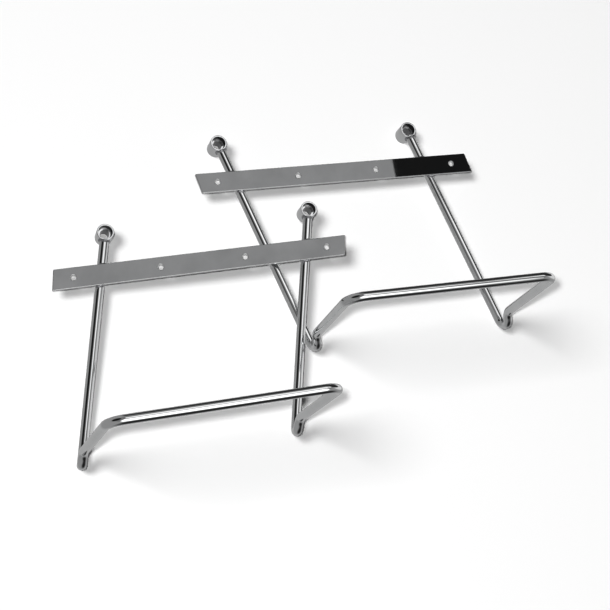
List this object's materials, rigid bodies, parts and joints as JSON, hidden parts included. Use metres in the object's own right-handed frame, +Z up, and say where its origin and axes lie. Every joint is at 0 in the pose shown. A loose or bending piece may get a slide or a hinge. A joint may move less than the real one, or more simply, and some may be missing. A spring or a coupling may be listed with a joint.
{
  "type": "saddlebag support brackets",
  "caption": "Left and right hand saddlebag support brackets of bent round bar, each with a drilled flat strap, counterbored bushes and hooked feet that run up into a U-shaped front rail.",
  "frame": {"origin": "bottom centre of the pair as it lies on a table", "axes": "+Z up from the table; +X along the right hand's strap, from the left hand to the right hand; +Y from the front rails towards the bushes"},
  "size_m": [0.566, 0.393, 0.1985],
  "materials": {
    "plated_bar": "bright chrome plate on drawn bar",
    "plated_strap": "bright chrome plate on flat bar",
    "plated_bush": "bright chrome plate on a turned part",
    "plated_weld": "chrome plate over a weld bead"
  },
  "bodies": {
    "right_bracket": {"right_frame_rod": "plated_bar", "right_strap": "plated_strap", "right_front_bush": "plated_bush", "right_rear_bush": "plated_bush", "right_front_bush_weld": "plated_weld", "right_rear_bush_weld": "plated_weld", "right_front_upper_weld": "plated_weld", "right_front_lower_weld": "plated_weld", "right_rear_upper_weld": "plated_weld", "right_rear_lower_weld": "plated_weld"},
    "left_bracket": {"left_frame_rod": "plated_bar", "left_strap": "plated_strap", "left_front_bush": "plated_bush", "left_rear_bush": "plated_bush", "left_front_bush_weld": "plated_weld", "left_rear_bush_weld": "plated_weld", "left_front_upper_weld": "plated_weld", "left_front_lower_weld": "plated_weld", "left_rear_upper_weld": "plated_weld", "left_rear_lower_weld": "plated_weld"}
  },
  "joints": [
    {"name": "lift_off", "type": "slide", "parent": "right_bracket", "child": "left_bracket", "axis": [-0.0499, 0, 0.9988], "range_m": [0, 0.22]}
  ]
}
